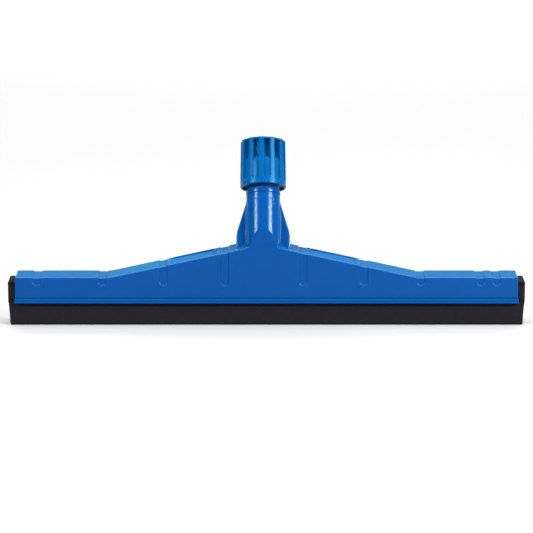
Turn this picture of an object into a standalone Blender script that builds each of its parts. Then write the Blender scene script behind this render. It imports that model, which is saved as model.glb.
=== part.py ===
"""A 45 cm floor squeegee head: a moulded frame with a leaning handle socket, and a double foam blade.

X runs along the blade, Y from the front (-Y) to the back, Z up from the floor. All sizes are in metres.
The socket's own frame has its Z along the handle and its -Y towards the front, and heights in it are
counted from the point where the neck's front line meets the frame's front face.
"""

import math

import bmesh
import bpy
from mathutils import Matrix, Vector

GAP = 0.0003

# Frame channel
FRAME_LENGTH = 0.4384
FRAME_DEPTH = 0.0343
FRAME_BOTTOM = 0.01975
WALL = 0.0025
RIM_HEIGHT = 0.00405
RIM_PROUD = 0.0008
RIM_ROUND = 0.0003
LIP_PROUD = 0.0012
LIP_LOW = 0.00055
LIP_HIGH = 0.00245
LIP_TOP = 0.00315
ROOF_END = 0.0427
ROOF_SLOPE = 0.2177
ROOF_RUN = 0.133
RIDGE_BLEND = 0.006
EDGE_ROUND = 0.0012

# Grooves across the roof, and the webs inside the frame under them
GROOVE_CENTRES = (-0.2001, -0.1428, -0.0898, -0.0365, 0.0317, 0.0846, 0.1341, 0.1862, 0.2001)
GROOVE_WIDTH = 0.0074
GROOVE_DEPTH = 0.0007
GROOVE_FOOT = 0.0357
WEB_THICKNESS = 0.0018

# Recessed panels of the roof, beside the neck
PANELS = ((-0.0829, -0.0438), (0.0369, 0.0777))
PANEL_DEPTH = 0.0013
PANEL_BORDER = 0.0022

# Neck and its wings
NECK_X = -0.0029
NECK_BACK = 0.0135
NECK_HEIGHT = 0.0794
NECK_LEAN = math.radians(24.0)
NECK_RADIUS = 0.01475
NECK_TOP = 0.034
NECK_FOOT = -0.025
SOCKET_RADIUS = 0.0113
SOCKET_FLOOR = 0.0
SOCKET_FLOOR_THICKNESS = 0.0028
COUNTERBORE_RADIUS = 0.0131
COUNTERBORE_FLOOR = 0.022
NECK_SEGMENTS = 48
CORE_RADIUS = 0.0088
CORE_LOW = 0.0455
CORE_SEGMENTS = 16
NECK_FILLET = 0.0055
REAR_FILLET = 0.0024
FILLET_STEPS = 4
FILLET_SINK = 0.00003
HIDDEN_NECK_RADIUS = 0.0142
NECK_EMBED = 0.0017
WING_THICKNESS = 0.0028
WING_OUTLINE = ((0.0235, -0.0155), (0.0235, -0.0022), (0.0231, 0.0004), (0.0144, 0.0286))

# Threaded bush
BUSH_SLEEVE_RADIUS = 0.0128
BUSH_FLANGE_RADIUS = 0.015
BUSH_FLANGE_TOP = 0.0394
BUSH_FLANGE_ROUND = 0.0022
BUSH_TOP = 0.0565
BUSH_CONE_FOOT = 0.0446
BUSH_CONE_FOOT_RADIUS = 0.01175
CONE_SLOPE = 0.08
NOTCH_WIDTH = 0.0018
NOTCH_DEPTH = 0.0008

# Thread between the bush and the collar
THREAD_PITCH = 0.004
THREAD_MEAN_RADIUS = 0.0139
THREAD_HALF_HEIGHT = 0.00045
THREAD_CLEARANCE = 0.0004
THREAD_STEPS_PER_TURN = 6
THREAD_FADE = 0.0013
THREAD_SEGMENTS = 40
BUSH_THREAD = (0.0400, 0.0554)
COLLAR_THREAD = (0.0458, 0.0551)

# Split clamp ring
CLAMP_FOOT = 0.0468
CLAMP_HEAD_FOOT = 0.0585
CLAMP_TOP = 0.0625
CLAMP_BORE_RADIUS = 0.0111
CLAMP_HEAD_RADIUS = 0.0144
CLAMP_SLOT_DEGREES = 12.0
CLAMP_SEGMENTS = 36

# Fluted collar
COLLAR_FOOT = 0.0406
COLLAR_HEIGHT = 0.0417
COLLAR_FOOT_RADIUS = 0.0201
COLLAR_TOP_RADIUS = 0.0195
COLLAR_MOUTH_RADIUS = 0.012
COLLAR_CAVITY_RADIUS = 0.0149
COLLAR_SHOULDER = 0.0222
COLLAR_ENTRY_RADIUS = 0.0184
COLLAR_ENTRY_DEPTH = 0.0026
COLLAR_EDGE = 0.0006
COLLAR_CHAMFER = 0.0008
RIB_COUNT = 12
RIB_PHASE_DEGREES = -5.0
RIB_HALF_DEGREES = 4.8
FLUTE_WALL_DEGREES = 0.5
FLUTE_COLUMNS = 7
FLUTE_FOOT = 0.0038
SHALLOW_FLOOR = 0.91
DEEP_FLOOR = 0.71
CROWN_FLOOR = 0.975
RAMP_FOOT = 0.0218
RAMP_TOP = 0.0277
CROWN_FOOT = 0.0026
CROWN_TOP = 0.0013

# Blade insert
BLADE_LENGTH = 0.450
INSERT_HEIGHT = 0.0383
PLATE_THICKNESS = 0.003
PLATE_CORNER = 0.001
CORE_THICKNESS = 0.0061
CORE_FOOT = 0.020
FOAM_THICKNESS = 0.011
FOAM_TOP = INSERT_HEIGHT - PLATE_THICKNESS - GAP
FOAM_GROOVE = 0.0013
FOAM_EDGE = 0.002

# Place of the front face: the origin is under the middle of the whole head's depth.
REAR_REACH = (NECK_BACK + (COLLAR_FOOT + COLLAR_HEIGHT - COLLAR_EDGE) * math.sin(NECK_LEAN)
              + COLLAR_TOP_RADIUS * math.cos(NECK_LEAN))
FRONT_Y = RIM_PROUD - (RIM_PROUD + REAR_REACH) / 2

SOCKET_FRAME = (Matrix.Translation((NECK_X, FRONT_Y + NECK_BACK, NECK_HEIGHT))
                @ Matrix.Rotation(-NECK_LEAN, 4, "X"))


# ---------------------------------------------------------------- tools

def clear_scene():
    for existing in list(bpy.data.objects):
        bpy.data.objects.remove(existing, do_unlink=True)


def make_material(name, colour, roughness):
    material = bpy.data.materials.new(name)
    material.use_nodes = True
    shader = material.node_tree.nodes["Principled BSDF"]
    shader.inputs["Base Color"].default_value = (*colour, 1.0)
    shader.inputs["Roughness"].default_value = roughness
    shader.inputs["Metallic"].default_value = 0.0
    return material


def add_skin(mesh, rings, looped=False):
    """Join neighbouring rings of points with faces: the ends are capped, or meet if the skin is looped."""
    rows = [[mesh.verts.new(point) for point in ring] for ring in rings]
    pairs = list(zip(rows, rows[1:]))
    if looped:
        pairs.append((rows[-1], rows[0]))
    else:
        mesh.faces.new(rows[0])
        mesh.faces.new(rows[-1])
    for low, high in pairs:
        for i, corner in enumerate(low):
            j = (i + 1) % len(low)
            mesh.faces.new((corner, low[j], high[j], high[i]))


def make_object(name, skins, material=None, looped=False, sharp_degrees=35.0):
    mesh = bmesh.new()
    for rings in skins:
        add_skin(mesh, rings, looped)
    bmesh.ops.recalc_face_normals(mesh, faces=mesh.faces)
    data = bpy.data.meshes.new(name)
    mesh.to_mesh(data)
    mesh.free()
    data.shade_smooth()
    data.set_sharp_from_angle(angle=math.radians(sharp_degrees))
    result = bpy.data.objects.new(name, data)
    bpy.context.scene.collection.objects.link(result)
    if material:
        data.materials.append(material)
    return result


def combine(target, tool, operation):
    tool.hide_render = True
    tool.display_type = "WIRE"
    modifier = target.modifiers.new(tool.name, "BOOLEAN")
    modifier.solver = "EXACT"
    modifier.operation = operation
    modifier.object = tool


def circle(height, radius_at, segments):
    """A level ring in the socket's frame: its radius may change with the azimuth, counted from the front."""
    points = []
    for i in range(segments):
        azimuth = 2 * math.pi * i / segments
        radius = radius_at(azimuth)
        points.append(Vector((radius * math.sin(azimuth), -radius * math.cos(azimuth), height)))
    return points


def turned(profile, segments):
    return [circle(height, lambda azimuth, radius=radius: radius, segments) for radius, height in profile]


def in_world(rings):
    return [[SOCKET_FRAME @ point for point in ring] for ring in rings]


# ---------------------------------------------------------------- frame

def roof_height(x):
    """Height of the roof's upper face: level towards the ends, with a rounded ridge over the socket."""
    offset = abs(x - NECK_X)
    if offset < RIDGE_BLEND:
        offset = (offset ** 2 + RIDGE_BLEND ** 2) / (2 * RIDGE_BLEND)
    return ROOF_END + ROOF_SLOPE * max(0.0, ROOF_RUN - offset)


def roof_normal(x):
    offset = (x - NECK_X) / RIDGE_BLEND
    steepness = ROOF_SLOPE * max(-1.0, min(1.0, offset))
    return Vector((steepness, 0.0, 1.0)).normalized()


def channel_section(x):
    """Closed outline of the channel's wall at x: up the front, over the roof, down the back, and inside."""
    top = roof_height(x)
    soft = EDGE_ROUND * (1 - math.sqrt(0.5))
    front_half = (
        (WALL + 0.5 * LIP_PROUD, FRAME_BOTTOM),
        (-RIM_PROUD + RIM_ROUND, FRAME_BOTTOM),
        (-RIM_PROUD, FRAME_BOTTOM + RIM_ROUND),
        (-RIM_PROUD, FRAME_BOTTOM + RIM_HEIGHT - RIM_ROUND),
        (-RIM_PROUD + RIM_ROUND, FRAME_BOTTOM + RIM_HEIGHT),
        (0.0, FRAME_BOTTOM + RIM_HEIGHT),
        (0.0, top - EDGE_ROUND),
        (soft, top - soft),
        (EDGE_ROUND, top),
    )
    inner_half = (
        (WALL, top - WALL),
        (WALL, FRAME_BOTTOM + LIP_TOP),
        (WALL + LIP_PROUD, FRAME_BOTTOM + LIP_HIGH),
        (WALL + LIP_PROUD, FRAME_BOTTOM + LIP_LOW),
    )
    outside = list(front_half) + [(FRAME_DEPTH - depth, height) for depth, height in reversed(front_half)]
    inside = [(FRAME_DEPTH - depth, height) for depth, height in reversed(inner_half)] + list(inner_half)
    return [Vector((x, FRONT_Y + depth, height)) for depth, height in outside + inside]


def channel_rings():
    half = FRAME_LENGTH / 2
    offsets = (0.0, 0.5 * RIDGE_BLEND, RIDGE_BLEND, ROOF_RUN)
    stations = {-half, half}
    for offset in offsets:
        stations.add(NECK_X + offset)
        stations.add(NECK_X - offset)
    return [channel_section(x) for x in sorted(stations)]


def neck_column(azimuth):
    """Points of the neck's outside at one azimuth, from its hidden foot, round the fillet, to its top.

    A ball that touches neck and roof has its centre one fillet radius off each of them. The fillet is
    tighter at the back, where the roof ends close behind the neck.
    """
    behind = ((1 - math.cos(azimuth)) / 2) ** 2
    fillet = NECK_FILLET + (REAR_FILLET - NECK_FILLET) * behind
    sideways = Vector((math.sin(azimuth), -math.cos(azimuth), 0.0))
    turn = SOCKET_FRAME.to_3x3()
    outwards = turn @ sideways
    along = turn @ Vector((0.0, 0.0, 1.0))
    start = SOCKET_FRAME @ (sideways * (NECK_RADIUS + fillet))
    normal = roof_normal(start.x)
    clearance = (start.z - roof_height(start.x)) * normal.z
    centre = start + along * ((fillet - clearance) / along.dot(normal))
    base = SOCKET_FRAME @ (sideways * HIDDEN_NECK_RADIUS)
    landing = centre - normal * (fillet + NECK_EMBED)
    below_roof = (roof_height(base.x) - NECK_EMBED - base.z) / along.z
    points = [base + along * NECK_FOOT, base + along * below_roof, landing]
    for i in range(FILLET_STEPS + 1):
        direction = (-normal).lerp(-outwards, i / FILLET_STEPS).normalized()
        sink = normal * (FILLET_SINK if i == 0 else 0.0)
        points.append(centre + direction * fillet - sink)
    points.append(SOCKET_FRAME @ (sideways * NECK_RADIUS + Vector((0.0, 0.0, NECK_TOP))))
    return points


def neck_rings():
    columns = [neck_column(2 * math.pi * i / NECK_SEGMENTS) for i in range(NECK_SEGMENTS)]
    return [list(level) for level in zip(*columns)]


def wing_rings():
    outline = list(WING_OUTLINE) + [(-width, height) for width, height in reversed(WING_OUTLINE)]
    return in_world([[Vector((width, side * WING_THICKNESS / 2, height)) for width, height in outline]
                     for side in (-1, 1)])


def web_rings(x):
    """One web under a groove, from the insert's top plate up into the roof."""
    foot = INSERT_HEIGHT + GAP
    embed = 0.5 * WALL
    rings = []
    for side in (-1, 1):
        edge = x + side * WEB_THICKNESS / 2
        head = roof_height(edge) - embed
        near = FRONT_Y + embed
        far = FRONT_Y + FRAME_DEPTH - embed
        rings.append([Vector((edge, near, foot)), Vector((edge, far, foot)),
                      Vector((edge, far, head)), Vector((edge, near, head))])
    return rings


def groove_section(x, foot):
    """Saddle that a groove takes off the front, the roof and the back at x, down to a height of foot."""
    top = roof_height(x)
    outer = GROOVE_DEPTH + RIM_PROUD
    near = FRONT_Y + GROOVE_DEPTH
    far = FRONT_Y + FRAME_DEPTH - GROOVE_DEPTH
    floor = top - GROOVE_DEPTH
    return [
        Vector((x, FRONT_Y - outer, foot)),
        Vector((x, near, foot)),
        Vector((x, near, floor - EDGE_ROUND)),
        Vector((x, near + EDGE_ROUND, floor)),
        Vector((x, far - EDGE_ROUND, floor)),
        Vector((x, far, floor - EDGE_ROUND)),
        Vector((x, far, foot)),
        Vector((x, FRONT_Y + FRAME_DEPTH + outer, foot)),
        Vector((x, FRONT_Y + FRAME_DEPTH + outer, top + outer)),
        Vector((x, FRONT_Y - outer, top + outer)),
    ]


def groove_rings(centre, stations=7):
    half = GROOVE_WIDTH / 2
    rings = []
    for i in range(stations):
        turn = math.pi * i / (stations - 1)
        foot = GROOVE_FOOT + half * (1 - math.sin(turn))
        rings.append(groove_section(centre - half * math.cos(turn), foot))
    return rings


def panel_rings(span):
    rings = []
    for x in span:
        top = roof_height(x)
        near = FRONT_Y + PANEL_BORDER
        far = FRONT_Y + FRAME_DEPTH - PANEL_BORDER
        rings.append([Vector((x, near, top - PANEL_DEPTH)), Vector((x, far, top - PANEL_DEPTH)),
                      Vector((x, far, top + WALL)), Vector((x, near, top + WALL))])
    return rings


def front_trim_rings():
    """Block in front of the frame, which cuts the neck's foot flush with the front face."""
    half = 2.5 * NECK_RADIUS
    low = NECK_HEIGHT + 2 * NECK_FOOT
    high = NECK_HEIGHT + NECK_RADIUS
    near = FRONT_Y - NECK_RADIUS
    return [[Vector((NECK_X + side * half, near, low)), Vector((NECK_X + side * half, FRONT_Y, low)),
             Vector((NECK_X + side * half, FRONT_Y, high)), Vector((NECK_X + side * half, near, high))]
            for side in (-1, 1)]


def core_rings():
    """Upright hollow inside the neck's foot, up to the underside of the socket's floor."""
    slope = math.tan(NECK_LEAN)
    drop = SOCKET_FLOOR_THICKNESS / math.cos(NECK_LEAN)
    low = []
    high = []
    for i in range(CORE_SEGMENTS):
        azimuth = 2 * math.pi * i / CORE_SEGMENTS
        x = NECK_X + CORE_RADIUS * math.sin(azimuth)
        depth = WALL + CORE_RADIUS * (1 - math.cos(azimuth))
        floor = NECK_HEIGHT - drop - (depth - NECK_BACK) * slope
        low.append(Vector((x, FRONT_Y + depth, CORE_LOW)))
        high.append(Vector((x, FRONT_Y + depth, floor)))
    return [low, high]


def socket_rings():
    above = NECK_TOP + WALL
    profile = ((SOCKET_RADIUS, SOCKET_FLOOR), (SOCKET_RADIUS, COUNTERBORE_FLOOR),
               (COUNTERBORE_RADIUS, COUNTERBORE_FLOOR), (COUNTERBORE_RADIUS, above))
    return in_world(turned(profile, NECK_SEGMENTS))


def build_frame(material):
    frame = make_object("frame_moulding", [channel_rings()], material)
    neck = make_object("neck_tool", [neck_rings()])
    combine(neck, make_object("front_trim_tool", [front_trim_rings()]), "DIFFERENCE")
    combine(frame, neck, "UNION")
    combine(frame, make_object("wing_tool", [wing_rings()]), "UNION")
    combine(frame, make_object("web_tool", [web_rings(x) for x in GROOVE_CENTRES]), "UNION")
    combine(frame, make_object("core_tool", [core_rings()]), "DIFFERENCE")
    combine(frame, make_object("socket_tool", [socket_rings()]), "DIFFERENCE")
    combine(frame, make_object("groove_tool", [groove_rings(x) for x in GROOVE_CENTRES]), "DIFFERENCE")
    combine(frame, make_object("panel_tool", [panel_rings(span) for span in PANELS]), "DIFFERENCE")
    return frame


# ---------------------------------------------------------------- thread

def thread_rings(mean_radius, end_radius, span):
    """Right-handed round thread over a span of heights: it dies out to end_radius at both ends."""
    count = round((span[1] - span[0]) * THREAD_STEPS_PER_TURN / THREAD_PITCH)
    rings = []
    for i in range(count + 1):
        height = span[0] + (span[1] - span[0]) * i / count
        fade = min(1.0, min(height - span[0], span[1] - height) / THREAD_FADE)
        turn = 2 * math.pi * height / THREAD_PITCH

        def radius_at(azimuth, fade=fade, turn=turn):
            full = mean_radius + THREAD_HALF_HEIGHT * math.cos(turn - azimuth)
            return end_radius + fade * (full - end_radius)

        rings.append(circle(height, radius_at, THREAD_SEGMENTS))
    return rings


# ---------------------------------------------------------------- socket pieces

def build_bush(material, empty):
    foot = COUNTERBORE_FLOOR + GAP
    flange_foot = NECK_TOP + GAP
    soft = BUSH_FLANGE_ROUND * math.sqrt(0.5)
    round_foot = BUSH_FLANGE_TOP - BUSH_FLANGE_ROUND
    round_centre = BUSH_FLANGE_RADIUS - BUSH_FLANGE_ROUND
    lip_radius = THREAD_MEAN_RADIUS - THREAD_HALF_HEIGHT
    mouth_radius = BUSH_CONE_FOOT_RADIUS + CONE_SLOPE * (BUSH_TOP - BUSH_CONE_FOOT)
    below = ((SOCKET_RADIUS, foot), (BUSH_SLEEVE_RADIUS, foot), (BUSH_SLEEVE_RADIUS, flange_foot),
             (BUSH_FLANGE_RADIUS, flange_foot), (BUSH_FLANGE_RADIUS, round_foot),
             (round_centre + soft, round_foot + soft), (round_centre, BUSH_FLANGE_TOP))
    above = ((lip_radius, BUSH_TOP), (mouth_radius, BUSH_TOP), (BUSH_CONE_FOOT_RADIUS, BUSH_CONE_FOOT),
             (SOCKET_RADIUS, BUSH_CONE_FOOT))
    rings = turned(below, THREAD_SEGMENTS) + thread_rings(THREAD_MEAN_RADIUS, lip_radius, BUSH_THREAD)
    rings += turned(above, THREAD_SEGMENTS)
    bush = make_object("threaded_bush", [rings], material, looped=True)
    notch = make_object("notch_tool", [notch_rings()])
    combine(bush, notch, "DIFFERENCE")
    notch.parent = empty
    bush.parent = empty
    return bush


def notch_rings():
    """Small index notch down the front of the bush's flange."""
    near = -BUSH_FLANGE_RADIUS - WALL
    far = -BUSH_FLANGE_RADIUS + NOTCH_DEPTH
    low = NECK_TOP + GAP + NOTCH_DEPTH
    high = BUSH_FLANGE_TOP + 0.2 * WALL
    return [[Vector((side * NOTCH_WIDTH / 2, near, low)), Vector((side * NOTCH_WIDTH / 2, far, low)),
             Vector((side * NOTCH_WIDTH / 2, far, high)), Vector((side * NOTCH_WIDTH / 2, near, high))]
            for side in (-1, 1)]


def build_clamp_ring(material, empty):
    """Split taper ring: a thin tapered sleeve in the bush's mouth under a thicker head."""
    taper_foot = BUSH_CONE_FOOT_RADIUS - GAP + CONE_SLOPE * (CLAMP_FOOT - BUSH_CONE_FOOT)
    taper_top = taper_foot + CONE_SLOPE * (CLAMP_HEAD_FOOT - CLAMP_FOOT)
    edge = 0.001
    profile = ((CLAMP_BORE_RADIUS, CLAMP_FOOT), (taper_foot, CLAMP_FOOT), (taper_top, CLAMP_HEAD_FOOT),
               (CLAMP_HEAD_RADIUS, CLAMP_HEAD_FOOT), (CLAMP_HEAD_RADIUS, CLAMP_TOP - edge),
               (CLAMP_HEAD_RADIUS - edge, CLAMP_TOP), (CLAMP_BORE_RADIUS, CLAMP_TOP))
    sweep = math.radians(360.0 - CLAMP_SLOT_DEGREES)
    start = math.pi + math.radians(CLAMP_SLOT_DEGREES) / 2
    rings = []
    for i in range(CLAMP_SEGMENTS + 1):
        azimuth = start + sweep * i / CLAMP_SEGMENTS
        rings.append([Vector((radius * math.sin(azimuth), -radius * math.cos(azimuth), height))
                      for radius, height in profile])
    ring = make_object("clamp_ring", [rings], material)
    ring.parent = empty
    return ring


def collar_columns():
    """Azimuth and place in its flute of each upright line of the collar: None on a rib, -1 to 1 in a flute."""
    pitch = 360.0 / RIB_COUNT
    flute_half = pitch / 2 - RIB_HALF_DEGREES
    columns = []
    for i in range(RIB_COUNT):
        rib = RIB_PHASE_DEGREES + pitch * i
        for shift in (-RIB_HALF_DEGREES, 0.0, RIB_HALF_DEGREES):
            columns.append((math.radians(rib + shift), None))
        for j in range(FLUTE_COLUMNS):
            place = 2 * j / (FLUTE_COLUMNS - 1) - 1
            azimuth = rib + pitch / 2 + place * (flute_half - FLUTE_WALL_DEGREES)
            columns.append((math.radians(azimuth), place))
    return columns


def collar_radius(height):
    return COLLAR_FOOT_RADIUS + (COLLAR_TOP_RADIUS - COLLAR_FOOT_RADIUS) * height / COLLAR_HEIGHT


def collar_column(azimuth, place):
    """Points of one upright line of the collar's outside, from its foot to its top."""
    end_radius = COLLAR_FOOT_RADIUS * math.radians(180.0 / RIB_COUNT - RIB_HALF_DEGREES)
    rise = end_radius if place is None else end_radius * (1 - math.sqrt(max(0.0, 1 - place ** 2)))
    shallow, deep, crown = (1.0, 1.0, 1.0) if place is None else (SHALLOW_FLOOR, DEEP_FLOOR, CROWN_FLOOR)
    edge = COLLAR_EDGE
    soft = edge * (1 - math.sqrt(0.5))
    start = FLUTE_FOOT + rise
    levels = (
        (0.0, 1.0, -edge),
        (soft, 1.0, -soft),
        (edge, 1.0, 0.0),
        (start, 1.0, 0.0),
        (start + 0.5 * edge, shallow, 0.0),
        (RAMP_FOOT, shallow, 0.0),
        (RAMP_TOP, deep, 0.0),
        (COLLAR_HEIGHT - CROWN_FOOT, deep, 0.0),
        (COLLAR_HEIGHT - CROWN_TOP, crown, 0.0),
        (COLLAR_HEIGHT - edge, crown, 0.0),
        (COLLAR_HEIGHT, crown, -edge),
    )
    points = []
    for height, share, inset in levels:
        radius = collar_radius(height) * share + inset
        points.append(Vector((radius * math.sin(azimuth), -radius * math.cos(azimuth), height)))
    return points


def collar_outside():
    columns = [collar_column(azimuth, place) for azimuth, place in collar_columns()]
    return [list(level) for level in zip(*columns)]


def collar_inside():
    """Everything taken out of the collar: entry, thread, cavity for the clamp ring's head, and mouth."""
    mean = THREAD_MEAN_RADIUS + THREAD_CLEARANCE
    crest = mean + THREAD_HALF_HEIGHT
    thread_foot = COLLAR_THREAD[0] - COLLAR_FOOT
    thread = thread_rings(mean, crest, COLLAR_THREAD)
    for ring in thread:
        for point in ring:
            point.z -= COLLAR_FOOT
    over = COLLAR_HEIGHT + COLLAR_CHAMFER
    below = ((COLLAR_ENTRY_RADIUS, -COLLAR_CHAMFER), (COLLAR_ENTRY_RADIUS, COLLAR_ENTRY_DEPTH),
             (crest, thread_foot - COLLAR_CHAMFER))
    above = ((COLLAR_CAVITY_RADIUS, COLLAR_THREAD[1] - COLLAR_FOOT + COLLAR_CHAMFER),
             (COLLAR_CAVITY_RADIUS, COLLAR_SHOULDER), (COLLAR_MOUTH_RADIUS, COLLAR_SHOULDER),
             (COLLAR_MOUTH_RADIUS, COLLAR_HEIGHT - COLLAR_CHAMFER),
             (COLLAR_MOUTH_RADIUS + 2 * COLLAR_CHAMFER, over))
    return turned(below, THREAD_SEGMENTS) + thread + turned(above, THREAD_SEGMENTS)


def build_collar(material, empty):
    collar = make_object("collar_nut", [collar_outside()], material)
    hollow = make_object("hollow_tool", [collar_inside()])
    combine(collar, hollow, "DIFFERENCE")
    for piece in (collar, hollow):
        piece.parent = empty
        piece.location = (0.0, 0.0, COLLAR_FOOT)
    return collar


# ---------------------------------------------------------------- blade insert

def blade_end(height):
    """Distance from the middle to the foam's end: its free part is drawn in towards the floor."""
    free = max(0.0, 1 - height / CORE_FOOT)
    return BLADE_LENGTH / 2 - 0.0018 * math.sqrt(free)


def foam_rings(outer_face, inner_face):
    """Levels of one foam strip from its working edge up: its outer face is grooved for the frame's lip."""
    inwards = 1 if inner_face > outer_face else -1
    lip_foot = FRAME_BOTTOM + LIP_LOW - GAP
    lip_head = FRAME_BOTTOM + LIP_HIGH + GAP
    taper = LIP_TOP - LIP_HIGH
    levels = (
        (0.0, FOAM_EDGE),
        (0.3 * FOAM_EDGE, 0.3 * FOAM_EDGE),
        (FOAM_EDGE, 0.0),
        (0.25 * CORE_FOOT, 0.0),
        (0.6 * CORE_FOOT, 0.0),
        (lip_foot - taper, 0.0),
        (lip_foot, FOAM_GROOVE),
        (lip_head, FOAM_GROOVE),
        (lip_head + taper, 0.0),
        (FOAM_TOP, 0.0),
    )
    rings = []
    for height, inset in levels:
        end = blade_end(height) - min(inset, FOAM_EDGE) * (height < FOAM_EDGE)
        outer = FRONT_Y + outer_face + inwards * inset
        inner = FRONT_Y + inner_face
        rings.append([Vector((-end, outer, height)), Vector((end, outer, height)),
                      Vector((end, inner, height)), Vector((-end, inner, height))])
    return rings


def carrier_section(x, top):
    """Outline of the T-shaped core at x, with its plate's upper face at top."""
    plate_foot = INSERT_HEIGHT - PLATE_THICKNESS
    near = FRONT_Y + WALL + GAP
    far = FRONT_Y + FRAME_DEPTH - WALL - GAP
    middle = FRONT_Y + FRAME_DEPTH / 2
    half = CORE_THICKNESS / 2
    return [Vector((x, near, plate_foot)), Vector((x, near, top)), Vector((x, far, top)),
            Vector((x, far, plate_foot)), Vector((x, middle + half, plate_foot)),
            Vector((x, middle + half, CORE_FOOT)), Vector((x, middle - half, CORE_FOOT)),
            Vector((x, middle - half, plate_foot))]


def carrier_rings():
    rings = []
    for i in range(4):
        turn = 0.5 * math.pi * i / 3
        x = BLADE_LENGTH / 2 - PLATE_CORNER * (1 - math.sin(turn))
        top = INSERT_HEIGHT - PLATE_CORNER * (1 - math.cos(turn))
        rings.append((x, top))
    profile = [(-x, top) for x, top in reversed(rings)] + rings
    return [carrier_section(x, top) for x, top in profile]


def build_blades(foam_material, carrier_material):
    carrier = make_object("blade_carrier", [carrier_rings()], carrier_material)
    near = WALL + GAP
    front = make_object("front_foam_blade", [foam_rings(near, near + FOAM_THICKNESS)], foam_material)
    far = FRAME_DEPTH - near
    rear = make_object("rear_foam_blade", [foam_rings(far, far - FOAM_THICKNESS)], foam_material)
    return carrier, front, rear


# ---------------------------------------------------------------- assembly

def main():
    clear_scene()
    socket = bpy.data.objects.new("socket_axis", None)
    socket.matrix_world = SOCKET_FRAME
    bpy.context.scene.collection.objects.link(socket)
    build_frame(make_material("frame_blue", (0.006, 0.10, 0.39), 0.35))
    build_bush(make_material("bush_blue", (0.005, 0.09, 0.35), 0.35), socket)
    build_clamp_ring(make_material("clamp_white", (0.75, 0.75, 0.72), 0.45), socket)
    build_collar(make_material("collar_blue", (0.004, 0.12, 0.48), 0.3), socket)
    build_blades(make_material("foam_black", (0.012, 0.011, 0.014), 0.85),
                 make_material("carrier_black", (0.015, 0.015, 0.017), 0.55))


main()
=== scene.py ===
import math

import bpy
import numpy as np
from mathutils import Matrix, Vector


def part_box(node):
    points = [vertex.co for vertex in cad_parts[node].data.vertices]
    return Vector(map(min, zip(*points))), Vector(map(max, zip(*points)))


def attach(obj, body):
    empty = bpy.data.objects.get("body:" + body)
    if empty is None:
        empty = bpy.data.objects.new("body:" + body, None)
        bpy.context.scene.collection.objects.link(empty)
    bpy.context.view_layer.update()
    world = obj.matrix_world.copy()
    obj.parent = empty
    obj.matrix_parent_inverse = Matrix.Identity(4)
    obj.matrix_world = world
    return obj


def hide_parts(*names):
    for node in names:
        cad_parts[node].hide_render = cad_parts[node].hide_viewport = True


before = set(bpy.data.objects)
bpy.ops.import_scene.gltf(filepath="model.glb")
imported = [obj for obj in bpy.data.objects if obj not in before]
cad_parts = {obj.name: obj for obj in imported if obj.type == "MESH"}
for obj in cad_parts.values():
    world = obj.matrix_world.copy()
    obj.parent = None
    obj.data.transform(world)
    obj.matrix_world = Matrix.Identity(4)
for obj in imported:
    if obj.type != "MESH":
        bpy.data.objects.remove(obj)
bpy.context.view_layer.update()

# Looks of a 45 cm floor squeegee head: moulded frame with a leaning handle socket, threaded bush, split
# clamp ring, fluted collar, and a double foam blade on its carrier.
# Metres. X runs along the blade, Y from the front (-Y) to the back, Z up from the floor. The socket has
# its own frame: Z along the handle, -Y to the front, heights counted from the foot of the neck's front.

GAP = 0.0003

# Frame channel: sizes as in the CAD, with roundings that only this model has
FRAME_LENGTH = 0.4384
FRAME_DEPTH = 0.0343
FRAME_BOTTOM = 0.01975
WALL = 0.0025
RIM_HEIGHT = 0.00405
RIM_PROUD = 0.0008
RIM_ROUND = 0.0004
RIM_DRAFT = 0.17
CREASE_DEPTH = 0.0007
CREASE_HEIGHT = 0.0009
PIP_RADIUS = 0.00095
PIP_RISE = 0.0014
LIP_PROUD = 0.0012
LIP_LOW = 0.00055
LIP_HIGH = 0.00245
LIP_TOP = 0.00315
LIP_SLOPE = 0.58
ROOF_END = 0.0427
ROOF_SLOPE = 0.2177
ROOF_RUN = 0.133
RIDGE_BLEND = 0.006
EDGE_ROUND = 0.0016
EDGE_BLEND = 0.0008
END_ROUND = 0.0009
ROOF_END_ROUND = 0.0014
REAR_CORNER_ROUND = 0.0022
INNER_ROUND = 0.0006

GROOVE_CENTRES = (-0.2001, -0.1428, -0.0898, -0.0365, 0.0317, 0.0846, 0.1341, 0.1862, 0.2001)
GROOVE_WIDTH = 0.0074
GROOVE_DEPTH = 0.0007
GROOVE_FOOT = 0.0357
GROOVE_SOFT = 0.0008
WEB_THICKNESS = 0.0018

PANELS = ((-0.0829, -0.0438), (0.0369, 0.0777))
PANEL_DEPTH = 0.0013
PANEL_BORDER = 0.0022
PANEL_SOFT = 0.0007

# Neck and wings
NECK_X = -0.0029
NECK_BACK = 0.0135
NECK_HEIGHT = 0.0794
NECK_LEAN = math.radians(24.0)
NECK_RADIUS = 0.01475
NECK_TOP = 0.034
NECK_FOOT = -0.025
NECK_SPLIT = 0.0288
NECK_EXTRA_RING = 0.030
NECK_SEGMENTS = 128
NECK_TUCK = 0.00006
NECK_ROUND = 0.0003
SOCKET_RADIUS = 0.0113
SOCKET_FLOOR_THICKNESS = 0.0028
COUNTERBORE_RADIUS = 0.0131
COUNTERBORE_FLOOR = 0.022
CORE_RADIUS = 0.0088
CORE_LOW = 0.0455
NECK_FILLET = 0.0055
FILLET_FALL = 5
FRONT_FILLET = 0.0016
REAR_FILLET = 0.0024
WING_HALF_THICKNESS = 0.0014
WING_WIDTH = 0.0235
WING_WIDTH_AT_FRONT = 0.02322
WING_TAPER = 0.308
WING_SHOULDER_BLEND = 0.0015
WING_ROUND = 0.0010
WING_FILLET = 0.0009

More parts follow.
